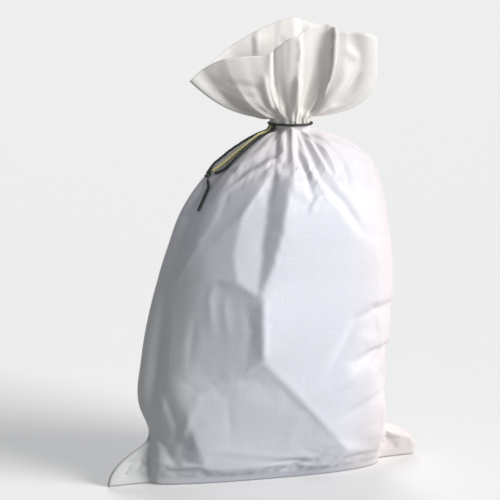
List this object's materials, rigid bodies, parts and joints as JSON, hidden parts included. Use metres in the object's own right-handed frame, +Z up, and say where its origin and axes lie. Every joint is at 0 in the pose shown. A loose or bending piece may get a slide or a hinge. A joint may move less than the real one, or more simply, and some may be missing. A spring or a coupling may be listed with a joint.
{
  "type": "woven polypropylene sack",
  "caption": "Filled white woven polypropylene sack standing on its sewn bottom, neck gathered under a dark cord, mouth flared open as a frill",
  "frame": {"origin": "middle of the bounding box's underside, on the floor, on the line of the bottom seam", "axes": "+X along the bottom seam to the right as seen from the front, +Y away from the front, +Z up"},
  "size_m": [0.354, 0.1488, 0.4852],
  "materials": {
    "woven_polypropylene": "white woven polypropylene tapes, soft sheen",
    "fill": "dry sand, hidden inside the sack",
    "tie_cord": "dark green-black twisted cord",
    "tie_yellow": "pale yellow strand"
  },
  "bodies": {
    "root": {"woven_sack": "woven_polypropylene", "sack_fill": "fill", "tie_winding": "tie_cord", "tie_upper_strand": "tie_cord", "tie_lower_strand": "tie_cord", "tie_yellow_strand": "tie_yellow", "tie_knot": "tie_cord", "tie_tail": "tie_cord"}
  },
  "joints": []
}
